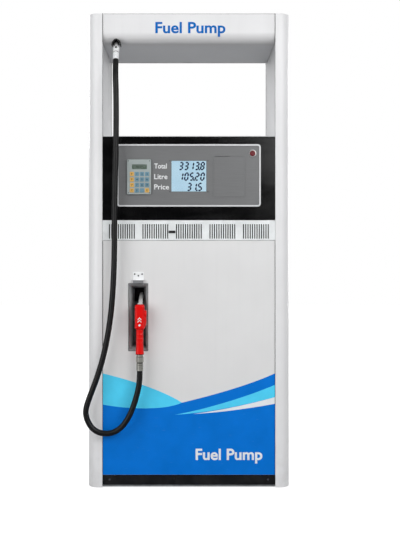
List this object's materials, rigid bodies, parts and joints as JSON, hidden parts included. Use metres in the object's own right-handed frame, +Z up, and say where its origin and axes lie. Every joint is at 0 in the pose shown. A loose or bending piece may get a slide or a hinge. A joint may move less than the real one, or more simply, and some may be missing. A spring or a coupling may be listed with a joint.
{
  "type": "fuel dispenser",
  "caption": "Tall single-hose fuel dispenser with a see-through head, display, keypad, hanging hose and a nozzle in a recessed boot.",
  "frame": {"origin": "centre of the four anchor bolts in the base, on the floor", "axes": "+Z up, +X to the right seen from the front, front at -Y"},
  "size_m": [0.932, 0.5595, 2.15],
  "materials": {
    "white_paint": "satin powder coat",
    "grey_paint": "satin",
    "door_paint": "satin powder coat with a vinyl wave livery",
    "black_paint": "gloss",
    "zinc_steel": "zinc plated",
    "black_panel": "high gloss",
    "strip_plastic": "satin moulded",
    "black_plastic": "moulded",
    "display_metal": "brushed, grey",
    "clear_glass": "clear",
    "lcd_glow": "backlit",
    "red_plastic": "gloss",
    "keypad_plastic": "fine texture",
    "key_orange": "moulded",
    "key_blue": "moulded",
    "boot_steel": "folded sheet",
    "red_paint": "vinyl dipped, gloss",
    "bright_metal": "turned",
    "chrome_metal": "polished",
    "hose_rubber": "fine mandrel wrap marks",
    "motor_paint": "machine enamel",
    "iron": "painted casting",
    "belt_rubber": "matt",
    "cast_alloy": "sand cast",
    "pipe_steel": "zinc plated"
  },
  "bodies": {
    "cabinet": {"base_frame": "zinc_steel", "left_column": "white_paint", "right_column": "white_paint", "header_front": "white_paint", "header_rear": "white_paint", "header_soffit": "grey_paint", "header_roof": "white_paint", "head_sill": "grey_paint", "head_shelf": "zinc_steel", "head_front_panel": "black_panel", "vent_strip_front": "strip_plastic", "vent_strip_rear": "strip_plastic", "front_door": "door_paint", "hinges": "zinc_steel", "kickplates": "black_paint", "display_panel": "display_metal", "lcd_window": "clear_glass", "lcd_module": "lcd_glow", "blank_cover": "display_metal", "keypad_housing": "keypad_plastic", "control_box": "grey_paint", "nozzle_boot": "boot_steel", "hasp_bracket": "white_paint", "hose": "hose_rubber", "outlet_swivel": "chrome_metal", "outlet_hood": "black_plastic", "motor": "motor_paint", "pump_unit": "iron", "drive_belt": "belt_rubber", "flow_meter": "cast_alloy", "pipework": "pipe_steel"},
    "nozzle": {"nozzle_body": "red_paint", "nozzle_spout": "bright_metal", "nozzle_swivel": "bright_metal"},
    "lever": {"nozzle_lever": "black_plastic"},
    "rear_door_body": {"rear_door": "door_paint"},
    "rear_head_door_body": {"rear_head_door": "black_panel"},
    "front_latch_body": {"front_latch": "black_plastic"},
    "rear_latch_body": {"rear_latch": "black_plastic"},
    "stop": {"stop_button": "red_plastic"},
    "motor_rotor": {"motor_pulley": "iron"},
    "pump_rotor": {"pump_pulley": "iron"},
    "encoder": {"meter_encoder": "bright_metal"},
    "key_1_1_cap": {"key_1_1": "key_orange"},
    "key_1_2_cap": {"key_1_2": "key_blue"},
    "key_1_3_cap": {"key_1_3": "key_blue"},
    "key_1_4_cap": {"key_1_4": "key_blue"},
    "key_2_1_cap": {"key_2_1": "key_orange"},
    "key_2_2_cap": {"key_2_2": "key_blue"},
    "key_2_3_cap": {"key_2_3": "key_blue"},
    "key_2_4_cap": {"key_2_4": "key_blue"},
    "key_3_1_cap": {"key_3_1": "key_orange"},
    "key_3_2_cap": {"key_3_2": "key_blue"},
    "key_3_3_cap": {"key_3_3": "key_blue"},
    "key_3_4_cap": {"key_3_4": "key_blue"},
    "key_4_1_cap": {"key_4_1": "key_orange"},
    "key_4_2_cap": {"key_4_2": "key_blue"},
    "key_4_3_cap": {"key_4_3": "key_blue"},
    "key_4_4_cap": {"key_4_4": "key_orange"}
  },
  "joints": [
    {"name": "nozzle_out", "type": "slide", "parent": "cabinet", "child": "nozzle", "axis": [0, -0.9848, 0.1736], "range_m": [0, 0.15]},
    {"name": "nozzle_trigger", "type": "hinge", "parent": "nozzle", "child": "lever", "pos_m": [-0.22, -0.258, 0.738], "axis": [-1, 0, 0], "range_deg": [0, 14], "stiffness_Nm_per_rad": 1.2, "springref_deg": -20.05},
    {"name": "rear_door_hinge", "type": "hinge", "parent": "cabinet", "child": "rear_door_body", "pos_m": [0.386, 0.243, 0.22], "axis": [0, 0, -1], "range_deg": [0, 105]},
    {"name": "rear_head_door_hinge", "type": "hinge", "parent": "cabinet", "child": "rear_head_door_body", "pos_m": [0.386, 0.243, 1.29], "axis": [0, 0, -1], "range_deg": [0, 105]},
    {"name": "front_latch_turn", "type": "hinge", "parent": "cabinet", "child": "front_latch_body", "pos_m": [-0.076, -0.236, 1.1585], "axis": [0, 1, 0], "range_deg": [0, 90]},
    {"name": "rear_latch_turn", "type": "hinge", "parent": "cabinet", "child": "rear_latch_body", "pos_m": [-0.076, 0.236, 1.1585], "axis": [0, 1, 0], "range_deg": [0, 90]},
    {"name": "stop_button_press", "type": "slide", "parent": "cabinet", "child": "stop", "axis": [0, 1, 0], "range_m": [0, 0.003], "stiffness_N_per_m": 900},
    {"name": "pump_spin", "type": "hinge", "parent": "cabinet", "child": "pump_rotor", "pos_m": [-0.15, -0.114, 0.19], "axis": [0, 1, 0], "continuous": true},
    {"name": "motor_spin", "type": "hinge", "parent": "cabinet", "child": "motor_rotor", "pos_m": [0.17, -0.114, 0.18], "axis": [0, 1, 0], "continuous": true},
    {"name": "encoder_spin", "type": "hinge", "parent": "cabinet", "child": "encoder", "pos_m": [-0.01, 0.06, 0.574], "axis": [0, 0, 1], "continuous": true},
    {"name": "key_1_1_press", "type": "slide", "parent": "cabinet", "child": "key_1_1_cap", "axis": [0, 1, 0], "range_m": [0, 0.0012], "stiffness_N_per_m": 600},
    {"name": "key_1_2_press", "type": "slide", "parent": "cabinet", "child": "key_1_2_cap", "axis": [0, 1, 0], "range_m": [0, 0.0012], "stiffness_N_per_m": 600},
    {"name": "key_1_3_press", "type": "slide", "parent": "cabinet", "child": "key_1_3_cap", "axis": [0, 1, 0], "range_m": [0, 0.0012], "stiffness_N_per_m": 600},
    {"name": "key_1_4_press", "type": "slide", "parent": "cabinet", "child": "key_1_4_cap", "axis": [0, 1, 0], "range_m": [0, 0.0012], "stiffness_N_per_m": 600},
    {"name": "key_2_1_press", "type": "slide", "parent": "cabinet", "child": "key_2_1_cap", "axis": [0, 1, 0], "range_m": [0, 0.0012], "stiffness_N_per_m": 600},
    {"name": "key_2_2_press", "type": "slide", "parent": "cabinet", "child": "key_2_2_cap", "axis": [0, 1, 0], "range_m": [0, 0.0012], "stiffness_N_per_m": 600},
    {"name": "key_2_3_press", "type": "slide", "parent": "cabinet", "child": "key_2_3_cap", "axis": [0, 1, 0], "range_m": [0, 0.0012], "stiffness_N_per_m": 600},
    {"name": "key_2_4_press", "type": "slide", "parent": "cabinet", "child": "key_2_4_cap", "axis": [0, 1, 0], "range_m": [0, 0.0012], "stiffness_N_per_m": 600},
    {"name": "key_3_1_press", "type": "slide", "parent": "cabinet", "child": "key_3_1_cap", "axis": [0, 1, 0], "range_m": [0, 0.0012], "stiffness_N_per_m": 600},
    {"name": "key_3_2_press", "type": "slide", "parent": "cabinet", "child": "key_3_2_cap", "axis": [0, 1, 0], "range_m": [0, 0.0012], "stiffness_N_per_m": 600},
    {"name": "key_3_3_press", "type": "slide", "parent": "cabinet", "child": "key_3_3_cap", "axis": [0, 1, 0], "range_m": [0, 0.0012], "stiffness_N_per_m": 600},
    {"name": "key_3_4_press", "type": "slide", "parent": "cabinet", "child": "key_3_4_cap", "axis": [0, 1, 0], "range_m": [0, 0.0012], "stiffness_N_per_m": 600},
    {"name": "key_4_1_press", "type": "slide", "parent": "cabinet", "child": "key_4_1_cap", "axis": [0, 1, 0], "range_m": [0, 0.0012], "stiffness_N_per_m": 600},
    {"name": "key_4_2_press", "type": "slide", "parent": "cabinet", "child": "key_4_2_cap", "axis": [0, 1, 0], "range_m": [0, 0.0012], "stiffness_N_per_m": 600},
    {"name": "key_4_3_press", "type": "slide", "parent": "cabinet", "child": "key_4_3_cap", "axis": [0, 1, 0], "range_m": [0, 0.0012], "stiffness_N_per_m": 600},
    {"name": "key_4_4_press", "type": "slide", "parent": "cabinet", "child": "key_4_4_cap", "axis": [0, 1, 0], "range_m": [0, 0.0012], "stiffness_N_per_m": 600}
  ],
  "couplings": [
    {"joint": "motor_spin", "follows": "pump_spin", "ratio": 2}
  ]
}
